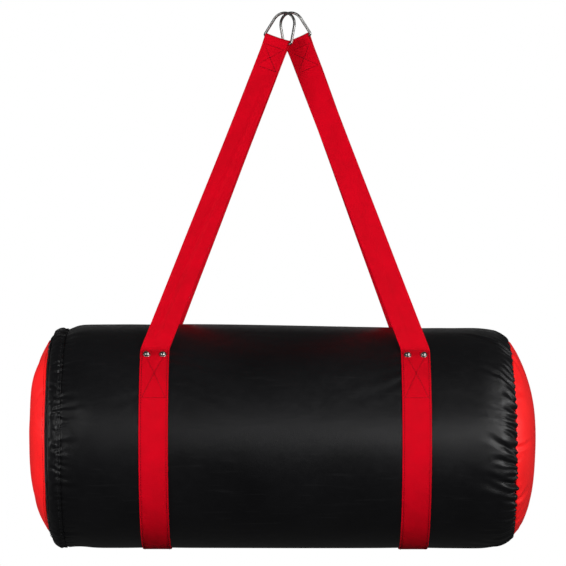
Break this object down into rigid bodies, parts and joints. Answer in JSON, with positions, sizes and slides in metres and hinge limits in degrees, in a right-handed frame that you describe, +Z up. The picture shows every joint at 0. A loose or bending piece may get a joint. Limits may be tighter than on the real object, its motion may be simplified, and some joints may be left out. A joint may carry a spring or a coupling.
{
  "type": "heavy punching bag",
  "caption": "Level-hung cylindrical punching bag with red ends, two webbing slings that meet at crossed D-rings, and a zip round one end.",
  "frame": {"origin": "the hang point, where a hook bears under the bows of both D-rings", "axes": "+Z up, +X along the bag towards the end without the zip, -Y towards the front"},
  "size_m": [0.895, 0.3978, 0.9505],
  "materials": {
    "black_vinyl": "satin",
    "red_vinyl": "satin",
    "red_webbing": "matte",
    "black_webbing": "matte",
    "zip_tape": "matte",
    "zip_coil": "satin",
    "zip_metal": "satin",
    "nickel": "polished",
    "ring_steel": "polished",
    "foam": "matte",
    "filling": "matte"
  },
  "bodies": {
    "bag": {"body_panel": "black_vinyl", "end_panel_left": "red_vinyl", "end_panel_right": "red_vinyl", "back_seam_strip": "black_vinyl", "zip_facing": "black_vinyl", "zip_tape_end_side": "zip_tape", "zip_tape_body_side": "zip_tape", "zip_coil_end_side": "zip_coil", "zip_coil_body_side": "zip_coil", "zip_stops": "zip_metal", "foam_liner": "foam", "fill_core": "filling", "girth_strap_left": "red_webbing", "girth_strap_right": "red_webbing", "hanger_left_front": "red_webbing", "hanger_left_back": "red_webbing", "hanger_right_front": "red_webbing", "hanger_right_back": "red_webbing", "strap_head_left": "red_webbing", "strap_head_right": "red_webbing", "rivet_caps_left": "nickel", "rivet_caps_right": "nickel", "rivet_bases_left": "nickel", "rivet_bases_right": "nickel", "backing_patches_left": "black_webbing", "backing_patches_right": "black_webbing"},
    "d_ring_left": {"d_ring_left": "ring_steel"},
    "d_ring_right": {"d_ring_right": "ring_steel"},
    "zip_slider": {"zip_slider": "zip_metal"},
    "zip_pull": {"zip_pull": "zip_metal"}
  },
  "joints": [
    {"name": "ring_left_fold", "type": "hinge", "parent": "bag", "child": "d_ring_left", "pos_m": [-0.0177, -0.0032, -0.044], "axis": [0.8085, -0.5, -0.3104], "range_deg": [0, 135]},
    {"name": "ring_right_fold", "type": "hinge", "parent": "bag", "child": "d_ring_right", "pos_m": [0.0177, 0.0032, -0.044], "axis": [-0.8085, 0.5, -0.3104], "range_deg": [0, 135]},
    {"name": "zip_run", "type": "hinge", "parent": "bag", "child": "zip_slider", "pos_m": [-0.4135, 0, -0.745], "axis": [1, 0, 0], "range_deg": [0, 245]},
    {"name": "pull_swing", "type": "hinge", "parent": "zip_slider", "child": "zip_pull", "pos_m": [-0.41801, 0.17876, -0.745], "axis": [0.615, 0.7885, 0], "range_deg": [0, 165]}
  ]
}
